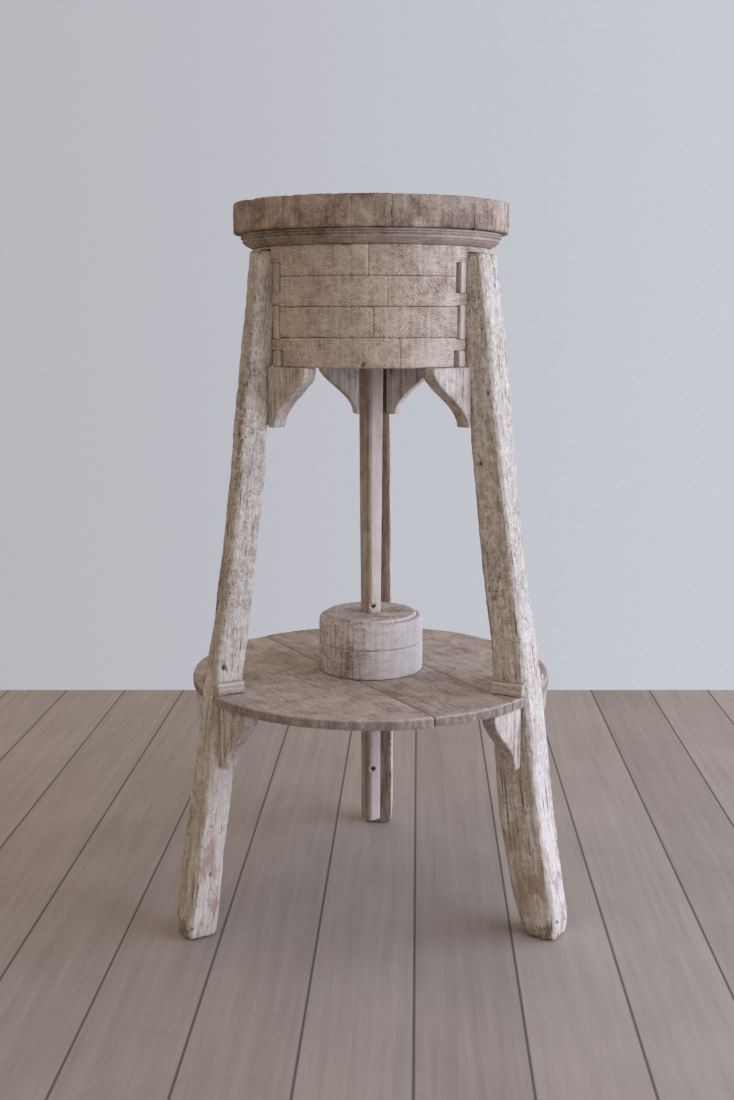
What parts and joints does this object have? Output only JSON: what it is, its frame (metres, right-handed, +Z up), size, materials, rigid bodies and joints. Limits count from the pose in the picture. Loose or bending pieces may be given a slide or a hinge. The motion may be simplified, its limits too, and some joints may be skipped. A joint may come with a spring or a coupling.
{
  "type": "sculptor's turning stand",
  "caption": "Three-legged wooden sculptor's stand: a round turning top on a post that slides up through a segmented drum and a shelf collar, bare oak and flaking whitewash.",
  "frame": {"origin": "on the floor, in the middle of the stand's outline; the spindle's axis stands at x 0, y -0.025", "axes": "+Z up along the spindle, -Y towards the front, where the gap between two legs is, +X to the right"},
  "size_m": [0.6056, 0.6164, 1.098],
  "materials": {
    "weathered_oak_top": "bare weathered oak, dry and greyed",
    "weathered_oak_moulding": "bare weathered oak with dark grime in the quirks",
    "drum_oak": "bare sawn oak, washed out",
    "flaking_whitewash": "old limewash flaking off rough wood",
    "bracket_oak": "bare sawn oak",
    "shelf_oak": "bare weathered oak",
    "collar_wood": "grey weathered softwood",
    "post_wood": "bare wood worn smooth by handling",
    "hidden_pine": "sawn softwood",
    "iron": "dark wrought iron"
  },
  "bodies": {
    "stand": {"leg_front_left": "flaking_whitewash", "leg_front_right": "flaking_whitewash", "leg_back": "flaking_whitewash", "drum_course_1_front_left": "drum_oak", "drum_course_1_front_right": "drum_oak", "drum_course_1_back": "drum_oak", "drum_course_2_front_left": "drum_oak", "drum_course_2_front_right": "drum_oak", "drum_course_2_back": "drum_oak", "drum_course_3_front_left": "drum_oak", "drum_course_3_front_right": "drum_oak", "drum_course_3_back": "drum_oak", "drum_course_4_front_left": "drum_oak", "drum_course_4_front_right": "drum_oak", "drum_course_4_back": "drum_oak", "drum_top_board": "hidden_pine", "drum_bottom_board": "hidden_pine", "leg_shim_front_left_left": "bracket_oak", "leg_shim_front_left_right": "bracket_oak", "leg_shim_front_right_left": "bracket_oak", "leg_shim_front_right_right": "bracket_oak", "leg_shim_back_left": "bracket_oak", "leg_shim_back_right": "bracket_oak", "upper_bracket_front_left_left": "bracket_oak", "upper_bracket_front_left_right": "bracket_oak", "upper_bracket_front_right_left": "bracket_oak", "upper_bracket_front_right_right": "bracket_oak", "upper_bracket_back_left": "bracket_oak", "upper_bracket_back_right": "bracket_oak", "lower_bracket_front_left_left": "bracket_oak", "lower_bracket_front_left_right": "bracket_oak", "lower_bracket_front_right_left": "bracket_oak", "lower_bracket_front_right_right": "bracket_oak", "lower_bracket_back_left": "bracket_oak", "lower_bracket_back_right": "bracket_oak", "shelf_board_left": "shelf_oak", "shelf_board_middle": "shelf_oak", "shelf_board_right": "shelf_oak", "shelf_batten_front": "hidden_pine", "shelf_batten_rear": "hidden_pine", "shelf_cleat_front_left_left": "bracket_oak", "shelf_cleat_front_left_right": "bracket_oak", "shelf_cleat_front_right_left": "bracket_oak", "shelf_cleat_front_right_right": "bracket_oak", "shelf_cleat_back_left": "bracket_oak", "shelf_cleat_back_right": "bracket_oak", "collar_lower": "collar_wood", "collar_upper": "collar_wood"},
    "post": {"post": "post_wood", "post_head": "post_wood", "pivot_pin": "iron"},
    "turntable": {"top_board_1": "weathered_oak_top", "top_board_2": "weathered_oak_top", "top_board_3": "weathered_oak_top", "top_batten_front": "hidden_pine", "top_batten_rear": "hidden_pine", "moulding_1": "weathered_oak_moulding", "moulding_2": "weathered_oak_moulding", "moulding_3": "weathered_oak_moulding"}
  },
  "joints": [
    {"name": "post_lift", "type": "slide", "parent": "stand", "child": "post", "axis": [0, 0, 1], "range_m": [0, 0.27]},
    {"name": "top_turn", "type": "hinge", "parent": "post", "child": "turntable", "pos_m": [0, -0.025, 1.054], "axis": [0, 0, 1], "continuous": true}
  ]
}
